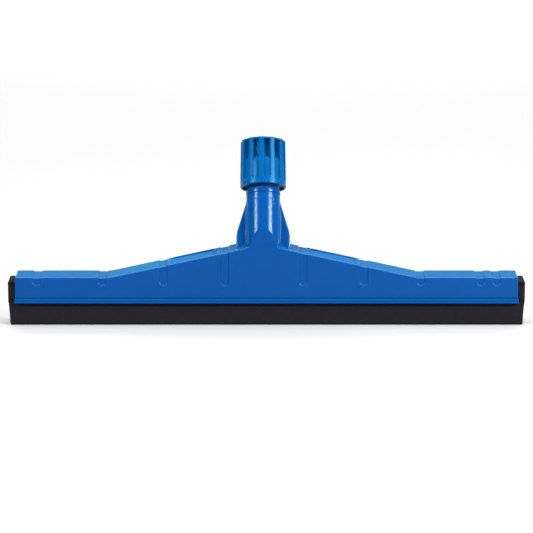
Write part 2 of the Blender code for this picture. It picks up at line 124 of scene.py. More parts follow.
# Threaded bush and its thread
BUSH_SLEEVE_RADIUS = 0.0128
BUSH_FLANGE_RADIUS = 0.015
BUSH_FLANGE_TOP = 0.0394
BUSH_FLANGE_ROUND = 0.0022
BUSH_TOP = 0.0565
BUSH_CONE_FOOT = 0.0446
BUSH_CONE_FOOT_RADIUS = 0.01175
CONE_SLOPE = 0.08
NOTCH_WIDTH = 0.0018
NOTCH_DEPTH = 0.0008
BUSH_SOFT = 0.0003
BUSH_FINE_DEGREES = (-7.0, 7.0, 29)
BUSH_COARSE_DEGREES = (8.5, 351.5, 206)
THREAD_PITCH = 0.004
THREAD_MEAN_RADIUS = 0.0139
THREAD_HALF_HEIGHT = 0.00045
THREAD_CLEARANCE = 0.0004
THREAD_FADE = 0.0013
THREAD_STEPS_PER_TURN = 14
BUSH_THREAD = (0.0400, 0.0554)
COLLAR_THREAD = (0.0458, 0.0551)

# Split clamp ring
CLAMP_FOOT = 0.0468
CLAMP_HEAD_FOOT = 0.0585
CLAMP_TOP = 0.0625
CLAMP_BORE_RADIUS = 0.0111
CLAMP_HEAD_RADIUS = 0.0144
CLAMP_SLOT_DEGREES = 12.0
CLAMP_SOFT = 0.00025
CLAMP_TOP_ROUND = 0.001
CLAMP_SECTIONS = 120
CLAMP_END_DEGREES = 1.0
CLAMP_END_SHARES = ((0.0, 0.9), (0.3, 0.97))

# Fluted collar
COLLAR_FOOT = 0.0406
COLLAR_HEIGHT = 0.0417
COLLAR_FOOT_RADIUS = 0.0201
COLLAR_TOP_RADIUS = 0.0195
COLLAR_MOUTH_RADIUS = 0.012
COLLAR_CAVITY_RADIUS = 0.0149
COLLAR_SHOULDER = 0.0222
COLLAR_ENTRY_RADIUS = 0.0184
COLLAR_ENTRY_DEPTH = 0.0026
COLLAR_EDGE = 0.0006
COLLAR_CHAMFER = 0.0008
COLLAR_SOFT = 0.0004
RIB_COUNT = 12
RIB_PHASE_DEGREES = -5.0
RIB_HALF_DEGREES = 4.8
FLUTE_FOOT = 0.0038
FLUTE_SOFT = 0.0006
FLUTE_SOFTER_ABOVE = 1.5
SHALLOW_FLOOR = 0.91
DEEP_FLOOR = 0.71
CROWN_FLOOR = 0.975
RAMP_FOOT = 0.0218
RAMP_TOP = 0.0277
CROWN_FOOT = 0.0026
CROWN_TOP = 0.0013

# Upright lines of the collar, in degrees: over a rib, over a flute's wall, and how many over its floor
RIB_LINES = (-2.6, -1.3, 0.0, 1.3, 2.6)
FLUTE_WALL_LINES = (-1.0, 2.6, 13)
FLUTE_FLOOR_START = 3.4
FLUTE_FLOOR_LINES = 14
# Heights of its rings: spans with their largest step
COLLAR_SPANS = (
    (COLLAR_EDGE, FLUTE_FOOT - 0.0004, 0.001), (FLUTE_FOOT - 0.0004, FLUTE_FOOT + 0.0045, 0.00022),
    (FLUTE_FOOT + 0.0045, RAMP_FOOT, 0.0012), (RAMP_FOOT, RAMP_TOP, 0.0005),
    (RAMP_TOP, COLLAR_HEIGHT - CROWN_FOOT, 0.001),
    (COLLAR_HEIGHT - CROWN_FOOT, COLLAR_HEIGHT - COLLAR_EDGE, 0.00022))

# Blade insert
BLADE_LENGTH = 0.450
INSERT_HEIGHT = 0.0383
PLATE_THICKNESS = 0.003
PLATE_CORNER = 0.001
CORE_THICKNESS = 0.0061
CORE_FOOT = 0.020
FOAM_THICKNESS = 0.011
FOAM_TOP = INSERT_HEIGHT - PLATE_THICKNESS - GAP
FOAM_GROOVE = 0.0013
FOAM_EDGE = 0.002
FOAM_CORNER = 0.0005
FOAM_DRAW_IN = 0.0018
FOAM_WAVE = 0.00008
FOAM_WAVE_ALONG = 70.0
FOAM_WAVE_UP = 40.0
FOAM_WAVE_TOP = 0.9 * CORE_FOOT
FRONT_WAVE_PHASE = 0.4
REAR_WAVE_PHASE = 2.6
FOAM_TOP_ROUND = 0.0006
FOAM_INNER_ROUNDING = 0.4
FOAM_END_ROUNDING = 0.6
FOAM_SIDE_MARGIN = 0.004
FOAM_COLUMNS = 110
CARRIER_SOFT = 0.0004
CARRIER_SECTIONS = 60

# Lines of the net that finds the frame's surface: reach to each side of a feature, and largest steps
NET_STEP = 0.0003
NET_NECK_STEP = 0.0009
NET_LONGEST_STEP = 0.007
NET_CLOSEST = 0.6 * NET_STEP
NET_EDGE_REACH = 0.0006
NET_BEND_REACH = 0.001
NET_PIP_REACH = 0.0012
NET_END_REACH = 0.0024
NET_NECK_REACH = 0.027
NET_LEVEL_TOP = 0.0394
NET_MIDDLE_LINES = 8
NET_LEVEL_SPANS = (
    (FRAME_BOTTOM - 0.0006, FRAME_BOTTOM + 0.0048, 0.00034), (FRAME_BOTTOM + 0.0048, 0.0353, 0.0035),
    (0.0353, NET_LEVEL_TOP, 0.0005))
NET_ROOF_SPANS = ((-0.0032, 0.0012, 0.0004), (0.0012, 0.0422, 0.001))
NET_DEPTH_SPANS = (
    (-0.00125, 0.0019, 0.00032), (0.0019, 0.0043, 0.0008), (0.0043, FRAME_DEPTH - 0.0043, 0.0014),
    (FRAME_DEPTH - 0.0043, FRAME_DEPTH - 0.0019, 0.0008),
    (FRAME_DEPTH - 0.0019, FRAME_DEPTH + 0.00125, 0.00032), (FRAME_DEPTH + 0.00125, 0.0425, 0.001))

# Looks: colour, roughness, specular level and grain depth of each material
HAZE = (0.0, 0.18, 0.22)
FRAME_LOOK = ((0.0006, 0.0475, 0.20), 0.18, 0.1, 0.000001)
FRAME_GLEAM = (0.8, 1.0, 0.95)
COLLAR_LOOK = ((0.0006, 0.066, 0.215), 0.22, 0.11, 0.0000015)
COLLAR_GLEAM = (0.25, 0.85, 1.0)
CLAMP_LOOK = ((0.72, 0.72, 0.69), 0.4, 0.5, 0.000004)
FOAM_LOOK = ((0.0055, 0.0048, 0.0072), 0.8, 0.15, 0.00002)
CARRIER_LOOK = ((0.005, 0.005, 0.0055), 0.75, 0.03, 0.000006)
NO_TINT = (0.0, 0.0, 0.0)
WHITE = (1.0, 1.0, 1.0)
MOTTLE = 0.06
# Noise of the mottling, the rubbed patches and the grain: scale, detail and distortion
MOTTLE_NOISE = (55.0, 5.0, 0.0)
SCUFF_NOISE = (240.0, 6.0, 0.6)
GRAIN_NOISE = (1500.0, 2.0, 0.0)
SCUFF_RANGE = (0.3, 0.7)
HAZE_ROUGHNESS = 0.35
# Paler convex edges found by pointiness, partly wear and partly a painted highlight along the edges:
# pointiness range, largest share, how much paler, and share of the haze tint
EDGE_WEAR_AND_HIGHLIGHT_FROM = 0.51
EDGE_WEAR_AND_HIGHLIGHT_TO = 0.57
EDGE_WEAR_AND_HIGHLIGHT_SHARE = 0.6
EDGE_WEAR_AND_HIGHLIGHT_PALER = 1.3
EDGE_WEAR_AND_HIGHLIGHT_HAZE = 0.1
SCUFF_SMOOTHER = 0.04
SCUFF_ROUGHER = 0.06
FLOOR_COLOUR = (0.38, 0.38, 0.38)
FLOOR_ROUGHNESS = 0.9
FLOOR_SPECULAR = 0.1
FLOOR_HALF = 12.0

# Lights: azimuth and elevation in degrees from the neck, distance, width, height, watts and roll
SOFTBOXES = (
    ("left_softbox", -57.5, 27.0, 1.6, 0.52, 0.19, 24.0, 18.0),
    ("right_softbox", 57.0, 27.0, 1.6, 0.60, 0.19, 40.0, -18.0),
    ("top_softbox", 0.0, 84.0, 1.6, 2.4, 1.8, 44.0, 0.0))
BACK_LIGHT_SIZE = (6.0, 4.0)
BACK_LIGHT_PLACE = (0.0, 3.6, 2.4)
BACK_LIGHT_WATTS = 400.0
WORLD_STRENGTH = 0.14

# View
VIEW_ELEVATION = math.radians(11.0)
VIEW_DISTANCE = 3.0
VIEW_HEIGHT = 0.0525
LENS_MM = 233.4
SENSOR_MM = 36.0
VIEW_CLIP_END = 60.0

FRONT_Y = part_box("frame_moulding")[0].y + RIM_PROUD
SOCKET_FRAME = (Matrix.Translation((NECK_X, FRONT_Y + NECK_BACK, NECK_HEIGHT))
                @ Matrix.Rotation(-NECK_LEAN, 4, "X"))


# ---------------------------------------------------------------- mesh tools

def new_piece(name, points, faces, material, body, node, normals=None, sharp_degrees=32.0):
    """One piece of the head from points and faces, riding on its body in place of its CAD node."""
    data = bpy.data.meshes.new(name)
    data.from_pydata([tuple(p) for p in np.asarray(points).tolist()], [], faces)
    data.update()
    data.materials.append(material)
    data.shade_smooth()
    if normals is None:
        data.set_sharp_from_angle(angle=math.radians(sharp_degrees))
    else:
        data.normals_split_custom_set_from_vertices(normals.tolist())
    piece = bpy.data.objects.new(name, data)
    bpy.context.scene.collection.objects.link(piece)
    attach(piece, body)
    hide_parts(node)
    return piece


def skin_faces(levels, around, looped=False, capped=False, first=0, turned_over=False):
    """Faces between neighbouring rings of points.

    looped joins the last ring to the first, capped closes both ends, and turned_over reverses every face.
    """
    faces = []
    pairs = levels if looped else levels - 1
    for level in range(pairs):
        low = first + level * around
        high = first + ((level + 1) % levels) * around
        for i in range(around):
            j = (i + 1) % around
            faces.append((low + i, low + j, high + j, high + i))
    if capped:
        faces.append(tuple(first + i for i in reversed(range(around))))
        faces.append(tuple(first + (levels - 1) * around + i for i in range(around)))
    if turned_over:
        faces = [face[::-1] for face in faces]
    return faces


def place(points, matrix):
    turn = np.array(matrix.to_3x3())
    return points @ turn.T + np.array(matrix.translation)


def rounded(corners, steps=5):
    """Outline through corners (across, up, radius), each corner with a radius turned into a small curve."""
    outline = []
    count = len(corners)
    for i, (across, up, radius) in enumerate(corners):
        corner = np.array((across, up))
        if radius == 0.0:
            outline.append(corner)
            continue
        before = np.array(corners[i - 1][:2]) - corner
        after = np.array(corners[(i + 1) % count][:2]) - corner
        start = corner + before / np.linalg.norm(before) * radius
        end = corner + after / np.linalg.norm(after) * radius
        for step in range(steps + 1):
            share = step / steps
            outline.append((1 - share) ** 2 * start + 2 * share * (1 - share) * corner + share ** 2 * end)
    return np.array(outline)


def lathe(profile, azimuths, height_shift=0.0):
    """Rings of a profile (radius, height) turned about the socket's axis: azimuth 0 faces the front."""
    sideways = np.stack([np.sin(azimuths), -np.cos(azimuths)], axis=1)
    rings = [np.column_stack([radius * sideways, np.full(len(azimuths), height + height_shift)])
             for radius, height in profile]
    return np.array(rings)


def smooth_step(value):
    """0 below 0, 1 above 1, and a smooth rise between them."""
    share = np.clip(value, 0.0, 1.0)
    return share * share * (3 - 2 * share)


# ---------------------------------------------------------------- distance fields

def round_max(a, b, radius):
    """Intersection of two solids, given by their distances, with the edge rounded to a radius."""
    corner = np.hypot(np.maximum(a + radius, 0.0), np.maximum(b + radius, 0.0))
    return np.minimum(np.maximum(a, b), -radius) + corner


def round_min(a, b, radius):
    """Union of two solids, given by their distances, with a fillet between them."""
    corner = np.hypot(np.maximum(radius - a, 0.0), np.maximum(radius - b, 0.0))
    return np.maximum(np.minimum(a, b), radius) - corner


def blend_max(a, b, width):
    """Intersection whose edge is blended over a width, so that a shallow crease fades out."""
    near = np.maximum(width - np.abs(a - b), 0.0) / width
    return np.maximum(a, b) + near * near * width / 4


def surface_net(x_lines, y_lines, z_grid, field):
    """Points and quads where a field changes sign on a grid whose heights z_grid vary along x."""
    shape = (len(x_lines), len(y_lines), z_grid.shape[1])
    xs = np.broadcast_to(x_lines[:, None, None], shape)
    ys = np.broadcast_to(y_lines[None, :, None], shape)
    zs = np.broadcast_to(z_grid[:, None, :], shape)
    values = field(xs, ys, zs)
    cells = [n - 1 for n in shape]
    found, places, quads = [], [], []
    for axis in range(3):
        low = [slice(None)] * 3
        high = [slice(None)] * 3
        low[axis] = slice(None, -1)
        high[axis] = slice(1, None)
        start = values[tuple(low)]
        end = values[tuple(high)]
        at = np.array(np.nonzero((start < 0) != (end < 0)))
        others = [a for a in range(3) if a != axis]
        inside = np.ones(at.shape[1], bool)
        for other in others:
            inside &= (at[other] > 0) & (at[other] < cells[other])
        at = at[:, inside]
        a = start[tuple(at)]
        share = a / (a - end[tuple(at)])
        beyond = at.copy()
        beyond[axis] += 1
        here = np.stack([c[tuple(at)] for c in (xs, ys, zs)], axis=1)
        there = np.stack([c[tuple(beyond)] for c in (xs, ys, zs)], axis=1)
        crossing = here + share[:, None] * (there - here)
        ring = []
        for first, second in ((0, 0), (1, 0), (1, 1), (0, 1)):
            cell = at.copy()
            cell[others[0]] -= first
            cell[others[1]] -= second
            ring.append((cell[0] * cells[1] + cell[1]) * cells[2] + cell[2])
            found.append(ring[-1])
            places.append(crossing)
        quad = np.stack(ring, axis=1)
        turned_over = (a < 0) == (axis == 1)
        quad[turned_over] = quad[turned_over][:, ::-1]
        quads.append(quad)
    used, index = np.unique(np.concatenate(found), return_inverse=True)
    index = index.ravel()
    spots = np.concatenate(places)
    count = np.bincount(index)
    points = np.stack([np.bincount(index, spots[:, i]) / count for i in range(3)], axis=1)
    return points, np.searchsorted(used, np.concatenate(quads))


def slope_of(field, points, step=0.00002):
    """Gradient of a field at points, from places a step to each side of them."""
    parts = []
    for i in range(3):
        shift = np.zeros(3)
        shift[i] = step
        ahead = field(*(points + shift).T)
        back = field(*(points - shift).T)
        parts.append((ahead - back) / (2 * step))
    return np.stack(parts, axis=1)


def settle(field, points, rounds=4, reach=0.0004, flattest=0.05):
    """Points moved onto a field's zero surface, and the surface's normals there.

    No coordinate moves by more than reach in one round, and a slope's square counts as flattest at least.
    """
    for _ in range(rounds):
        slope = slope_of(field, points)
        steep = np.maximum((slope ** 2).sum(axis=1), flattest)
        move = field(*points.T)[:, None] * slope / steep[:, None]
        points = points - np.clip(move, -reach, reach)
    slope = slope_of(field, points)
    return points, slope / np.maximum(np.linalg.norm(slope, axis=1), 1e-9)[:, None]


# ---------------------------------------------------------------- frame

def roof_height(x):
    """Height of the roof: level at the ends, rising to a soft ridge under the neck."""
    offset = np.abs(x - NECK_X)
    soft = (offset ** 2 + RIDGE_BLEND ** 2) / (2 * RIDGE_BLEND)
    offset = np.where(offset < RIDGE_BLEND, soft, offset)
    return ROOF_END + ROOF_SLOPE * np.maximum(0.0, ROOF_RUN - offset)


def roof_steepness(x):
    """Slope of the roof at a place along the frame."""
    offset = np.abs(x - NECK_X)
    return ROOF_SLOPE * np.minimum(offset / RIDGE_BLEND, 1.0) * (offset < ROOF_RUN)


def groove_distance(x):
    """Distance along the frame to the nearest groove's centre."""
    nearest = np.abs(x - GROOVE_CENTRES[0])
    for centre in GROOVE_CENTRES[1:]:
        nearest = np.minimum(nearest, np.abs(x - centre))
    return nearest


def recess(x, z, mirrored):
    """Depth that the grooves and the roof's panels take off the outside at a place."""
    half = GROOVE_WIDTH / 2
    across = groove_distance(x)
    below = np.minimum(z - GROOVE_FOOT - half, 0.0)
    outside_groove = np.hypot(across, below) - half
    depth = GROOVE_DEPTH * smooth_step(0.5 - outside_groove / GROOVE_SOFT)
    for start, end in PANELS:
        along = np.abs(x - (start + end) / 2) - (end - start) / 2
        outside_panel = round_max(along, PANEL_BORDER - mirrored, PANEL_SOFT)
        depth = depth + PANEL_DEPTH * smooth_step(0.5 - outside_panel / PANEL_SOFT)
    return depth


def wing_width(height):
    """Half-width of the wings at a height in the socket's frame: a straight taper over a soft shoulder."""
    tapered = WING_WIDTH_AT_FRONT - WING_TAPER * height
    return -blend_max(-tapered, -WING_WIDTH, WING_SHOULDER_BLEND)


def frame_field(x, y, z):
    """Signed distance to the moulding, negative inside it, up to the top of the neck's lower part."""
    depth = y - FRONT_Y
    mirrored = np.minimum(depth, FRAME_DEPTH - depth)
    above = (z - roof_height(x)) / np.sqrt(1 + roof_steepness(x) ** 2)
    beyond = np.abs(x) - FRAME_LENGTH / 2
    behind = y - (FRONT_Y + NECK_BACK)
    rise = z - NECK_HEIGHT
    along = behind * math.sin(NECK_LEAN) + rise * math.cos(NECK_LEAN)
    across = behind * math.cos(NECK_LEAN) - rise * math.sin(NECK_LEAN)
    radial = np.hypot(x - NECK_X, across)

    rear = round_max(depth - FRAME_DEPTH, beyond, REAR_CORNER_ROUND)
    crown = round_max(round_max(above, beyond, ROOF_END_ROUND), rear, EDGE_ROUND)
    crown = round_max(crown, -depth, EDGE_ROUND)
    facing = across / np.maximum(radial, GAP)
    fillet = np.where(facing < 0, FRONT_FILLET, REAR_FILLET)
    fillet = fillet + (NECK_FILLET - fillet) * (1 - facing * facing) ** FILLET_FALL
    tuck = NECK_TUCK * smooth_step((along - NECK_SPLIT) / (2 * GAP) + 1)
    neck = round_max(radial - NECK_RADIUS + tuck, along - NECK_SPLIT - GAP, NECK_ROUND)
    neck = blend_max(neck, -depth, EDGE_BLEND)
    crown = round_min(crown, neck, fillet)
    beside = np.abs(x - NECK_X) - wing_width(along)
    wing = round_max(np.abs(across) - WING_HALF_THICKNESS, beside, WING_ROUND)
    wing = np.maximum(wing, along - NECK_SPLIT)
    crown = round_min(crown, wing, WING_FILLET)
    outside = round_max(blend_max(crown, -depth, GAP), beyond, END_ROUND)
    outside = outside + recess(x, z, mirrored)

    lip = np.maximum(mirrored - WALL - LIP_PROUD,
                     z - FRAME_BOTTOM - LIP_TOP + LIP_SLOPE * (mirrored - WALL))
    lip = np.maximum(lip, mirrored - WALL - LIP_LOW - (z - FRAME_BOTTOM))
    web = np.maximum(groove_distance(x) - WEB_THICKNESS / 2, INSERT_HEIGHT + GAP - z)
    foot = np.maximum(radial - NECK_RADIUS, NECK_FOOT - along)
    inside = round_max(WALL - mirrored, above + WALL, INNER_ROUND)
    inside = np.maximum(inside, -np.minimum(np.minimum(lip, web), foot))
    solid = np.maximum(outside, -inside)

    rim_middle = FRAME_BOTTOM + RIM_HEIGHT / 2
    proud = RIM_PROUD - RIM_DRAFT * np.maximum(z - FRAME_BOTTOM - RIM_ROUND, 0.0)
    rim = round_max(-mirrored - proud, np.abs(z - rim_middle) - RIM_HEIGHT / 2, RIM_ROUND)
    rim = np.maximum(rim, mirrored - WALL / 2)
    rim = round_max(rim, beyond, RIM_ROUND)
    pip = np.hypot(np.hypot(x - NECK_X, depth), z - FRAME_BOTTOM - PIP_RISE) - PIP_RADIUS
    rim = round_min(rim, pip, GAP)
    over_rim = z - FRAME_BOTTOM - RIM_HEIGHT
    crease = np.maximum(mirrored - CREASE_DEPTH * (1 - over_rim / CREASE_HEIGHT), -over_rim)
    solid = np.maximum(np.minimum(solid, rim), -crease)
    solid = round_max(solid, FRAME_BOTTOM - z, GAP)

    core = np.hypot(x - NECK_X, depth - WALL - CORE_RADIUS) - CORE_RADIUS
    core = np.maximum(np.maximum(core, CORE_LOW - z), along + SOCKET_FLOOR_THICKNESS)
    bore = np.maximum(radial - SOCKET_RADIUS, -along)
    counterbore = np.maximum(radial - COUNTERBORE_RADIUS - tuck, COUNTERBORE_FLOOR - along)
    hollow = np.minimum(np.minimum(core, bore), counterbore)
    return np.maximum(solid, -hollow)


def lines(spans):
    """Grid lines from spans (start, end, largest step)."""
    parts = []
    for start, end, step in spans:
        parts.append(np.linspace(start, end, max(2, math.ceil((end - start) / step) + 1)))
    return np.unique(np.round(np.concatenate(parts), 7))


def frame_x_lines():
    """Lines across the frame: close together at groove edges, webs, panel ends, the neck and the ends."""
    half = FRAME_LENGTH / 2
    groove = GROOVE_WIDTH / 2
    edge = (-NET_EDGE_REACH, NET_EDGE_REACH, NET_STEP)
    wanted = [lines([(NECK_X - NET_NECK_REACH, NECK_X + NET_NECK_REACH, NET_NECK_STEP)]),
              NECK_X + lines([(-NET_PIP_REACH, NET_PIP_REACH, NET_STEP)])]
    for side in (-1, 1):
        wanted.append(side * lines([(half - NET_END_REACH, half + 2 * NET_STEP, NET_STEP)]))
        wanted.append(NECK_X + side * (ROOF_RUN + np.array((-NET_BEND_REACH, 0.0, NET_BEND_REACH))))
    for centre in GROOVE_CENTRES:
        for side in (-1, 1):
            wanted.append(centre + side * lines([(groove + edge[0], groove + edge[1], NET_STEP)]))
            wanted.append(centre + side * WEB_THICKNESS * np.array((0.25, 0.75)))
    for x in np.array(PANELS).ravel():
        wanted.append(x + lines([edge]))
    found = np.sort(np.concatenate(wanted))
    kept = [found[0]]
    for x in found[1:]:
        start = kept[-1]
        if x - start < NET_CLOSEST:
            continue
        steps = math.ceil((x - start) / NET_LONGEST_STEP)
        kept.extend(np.linspace(start, x, steps + 1)[1:])
    return np.array(kept)


def frame_z_grid(x_lines):
    """Heights of the grid lines at each x: fixed low down, and following the roof above."""
    low = lines(NET_LEVEL_SPANS)
    high = lines(NET_ROOF_SPANS)
    tops = roof_height(x_lines)[:, None]
    stretch = np.linspace(0, 1, NET_MIDDLE_LINES + 2)[None, 1:-1]
    middle = NET_LEVEL_TOP + (tops + high[0] - NET_LEVEL_TOP) * stretch
    return np.hstack([np.tile(low, (len(x_lines), 1)), middle, tops + high[None, :]])


def neck_crown():
    """Upper part of the neck, turned: outside, top face and the bore that holds the bush."""
    foot = NECK_SPLIT - GAP
    profile = rounded(((NECK_RADIUS - WALL / 2, foot, 0.0), (NECK_RADIUS, foot, 0.0),
                       (NECK_RADIUS, NECK_EXTRA_RING, 0.0), (NECK_RADIUS, NECK_TOP, NECK_ROUND),
                       (COUNTERBORE_RADIUS, NECK_TOP, NECK_ROUND), (COUNTERBORE_RADIUS, foot, 0.0)))
    azimuths = np.linspace(0, 2 * math.pi, NECK_SEGMENTS, endpoint=False)
    rings = lathe(profile, azimuths)
    return place(rings.reshape(-1, 3), SOCKET_FRAME), len(profile), len(azimuths)


def build_frame(material):
    """The moulding as one piece: its surface net, and the turned upper part of the neck."""
    x_lines = frame_x_lines()
    y_lines = FRONT_Y + lines(NET_DEPTH_SPANS)
    points, quads = surface_net(x_lines, y_lines, frame_z_grid(x_lines), frame_field)
    points, normals = settle(frame_field, points)
    crown, levels, around = neck_crown()
    crown_faces = skin_faces(levels, around, looped=True, first=len(points))
    axis = np.array(SOCKET_FRAME.to_3x3().col[2])
    outwards = crown - np.array(SOCKET_FRAME.translation)
    outwards = outwards - (outwards @ axis)[:, None] * axis
    outwards = outwards / np.linalg.norm(outwards, axis=1)[:, None]
    new_piece("frame_shell", np.vstack([points, crown]), quads.tolist() + crown_faces, material,
              "frame", "frame_moulding", normals=np.vstack([normals, outwards]))


# ---------------------------------------------------------------- socket pieces

def thread_levels(mean_radius, end_radius, span):
    """Heights of a round thread over a span, each with its radius as a function of the azimuth."""
    count = round((span[1] - span[0]) * THREAD_STEPS_PER_TURN / THREAD_PITCH)
    levels = []
    for i in range(count + 1):
        height = span[0] + (span[1] - span[0]) * i / count
        fade = smooth_step(min(height - span[0], span[1] - height) / THREAD_FADE)
        turn = 2 * math.pi * height / THREAD_PITCH

        def radius_at(azimuths, fade=fade, turn=turn):
            full = mean_radius + THREAD_HALF_HEIGHT * np.cos(turn - azimuths)
            return end_radius + fade * (full - end_radius)

        levels.append((height, radius_at))
    return levels


def ring_at(height, radii, azimuths):
    return np.column_stack([radii * np.sin(azimuths), -radii * np.cos(azimuths),
                            np.full(len(azimuths), height)])


def build_bush(material):
    """Threaded bush: sleeve in the neck, flange with its index notch, thread and tapered mouth."""
    azimuths = np.radians(np.concatenate([np.linspace(*BUSH_FINE_DEGREES),
                                          np.linspace(*BUSH_COARSE_DEGREES)]))
    foot = COUNTERBORE_FLOOR + GAP
    flange_foot = NECK_TOP + GAP
    lip_radius = THREAD_MEAN_RADIUS - THREAD_HALF_HEIGHT
    mouth_radius = BUSH_CONE_FOOT_RADIUS + CONE_SLOPE * (BUSH_TOP - BUSH_CONE_FOOT)
    soft = BUSH_SOFT
    profile = rounded(((SOCKET_RADIUS, foot, soft), (BUSH_SLEEVE_RADIUS, foot, soft),
                       (BUSH_SLEEVE_RADIUS, flange_foot, 0.0), (BUSH_FLANGE_RADIUS, flange_foot, soft),
                       (BUSH_FLANGE_RADIUS, BUSH_FLANGE_TOP, BUSH_FLANGE_ROUND),
                       (lip_radius, BUSH_FLANGE_TOP, 0.0), (lip_radius, BUSH_TOP, soft),
                       (mouth_radius, BUSH_TOP, soft), (BUSH_CONE_FOOT_RADIUS, BUSH_CONE_FOOT, 0.0),
                       (SOCKET_RADIUS, BUSH_CONE_FOOT, 0.0)), steps=6)
    rings = []
    threaded = False
    for radius, height in profile:
        if not threaded and radius <= lip_radius and height > BUSH_THREAD[1]:
            threaded = True
            for level, radius_at in thread_levels(THREAD_MEAN_RADIUS, lip_radius, BUSH_THREAD):
                rings.append(ring_at(level, radius_at(azimuths), azimuths))
        turned = np.mod(azimuths + math.pi, 2 * math.pi) - math.pi
        aside = np.abs(turned) * BUSH_FLANGE_RADIUS - NOTCH_WIDTH / 2
        beyond = radius - (BUSH_FLANGE_RADIUS - NOTCH_DEPTH)
        notched = smooth_step(0.5 - aside / (2 * soft)) * (height > flange_foot + NOTCH_DEPTH) * (beyond > 0)
        rings.append(ring_at(height, radius - notched * beyond, azimuths))
    points = place(np.array(rings).reshape(-1, 3), SOCKET_FRAME)
    new_piece("bush_shell", points, skin_faces(len(rings), len(azimuths), looped=True), material,
              "frame", "threaded_bush")


def build_clamp_ring(material):
    """Split taper ring, open at the back, with every edge of its section softened."""
    taper_foot = BUSH_CONE_FOOT_RADIUS - GAP + CONE_SLOPE * (CLAMP_FOOT - BUSH_CONE_FOOT)
    taper_top = taper_foot + CONE_SLOPE * (CLAMP_HEAD_FOOT - CLAMP_FOOT)
    soft = CLAMP_SOFT
    profile = rounded(((CLAMP_BORE_RADIUS, CLAMP_FOOT, soft), (taper_foot, CLAMP_FOOT, soft),
                       (taper_top, CLAMP_HEAD_FOOT, soft), (CLAMP_HEAD_RADIUS, CLAMP_HEAD_FOOT, soft),
                       (CLAMP_HEAD_RADIUS, CLAMP_TOP, CLAMP_TOP_ROUND), (CLAMP_BORE_RADIUS, CLAMP_TOP, soft)))
    middle = profile.mean(axis=0)
    start = math.pi + math.radians(CLAMP_SLOT_DEGREES) / 2
    step_in = math.radians(CLAMP_END_DEGREES)
    inner = np.linspace(start + step_in, 4 * math.pi - start - step_in, CLAMP_SECTIONS)
    ends = [(start + part * step_in, share) for part, share in CLAMP_END_SHARES]
    sections = ends + [(azimuth, 1.0) for azimuth in inner]
    sections += [(4 * math.pi - azimuth, share) for azimuth, share in reversed(ends)]
    rings = []
    for azimuth, share in sections:
        outline = middle + (profile - middle) * share
        rings.append(np.column_stack([outline[:, 0] * math.sin(azimuth), -outline[:, 0] * math.cos(azimuth),
                                      outline[:, 1]]))
    points = place(np.array(rings).reshape(-1, 3), SOCKET_FRAME)
    faces = skin_faces(len(rings), len(profile), capped=True, turned_over=True)
    new_piece("clamp_shell", points, faces, material, "clamp_ring", "clamp_ring")


def collar_azimuths():
    """Upright lines of the collar: close together where the flutes' walls start."""
    pitch = 360.0 / RIB_COUNT
    wall = np.linspace(*FLUTE_WALL_LINES)
    start = RIB_HALF_DEGREES + FLUTE_FLOOR_START
    floor = np.linspace(start, pitch - start, FLUTE_FLOOR_LINES)
    one = np.concatenate([RIB_LINES, RIB_HALF_DEGREES + wall, floor,
                          pitch - RIB_HALF_DEGREES - wall[::-1]])
    return np.radians(np.concatenate([RIB_PHASE_DEGREES + pitch * i + one for i in range(RIB_COUNT)]))


def flute_cut(azimuths, height):
    """Share of the radius that the flutes take off the collar at a height."""
    pitch = 2 * math.pi / RIB_COUNT
    place_in_flute = np.mod(azimuths - math.radians(RIB_PHASE_DEGREES), pitch) - pitch / 2
    across = np.abs(place_in_flute) * COLLAR_FOOT_RADIUS
    half = COLLAR_FOOT_RADIUS * (pitch / 2 - math.radians(RIB_HALF_DEGREES))
    below = min(height - FLUTE_FOOT - half, 0.0)
    outside = np.hypot(across, below) - half
    deepening = smooth_step((height - RAMP_FOOT) / (RAMP_TOP - RAMP_FOOT))
    floor = SHALLOW_FLOOR + (DEEP_FLOOR - SHALLOW_FLOOR) * deepening
    closing = smooth_step((height - COLLAR_HEIGHT + CROWN_FOOT) / (CROWN_FOOT - CROWN_TOP))
    floor = floor + (CROWN_FLOOR - floor) * closing
    width = FLUTE_SOFT * (1 + FLUTE_SOFTER_ABOVE * deepening)
    return (1 - floor) * smooth_step(-outside / width)


def collar_heights():
    """Heights of the collar's rings, with five more round each end's edge."""
    edge = [COLLAR_EDGE * (1 - math.cos(math.radians(turn))) for turn in (0, 18, 36, 54, 72)]
    return np.concatenate([edge, lines(COLLAR_SPANS), [COLLAR_HEIGHT - height for height in reversed(edge)]])


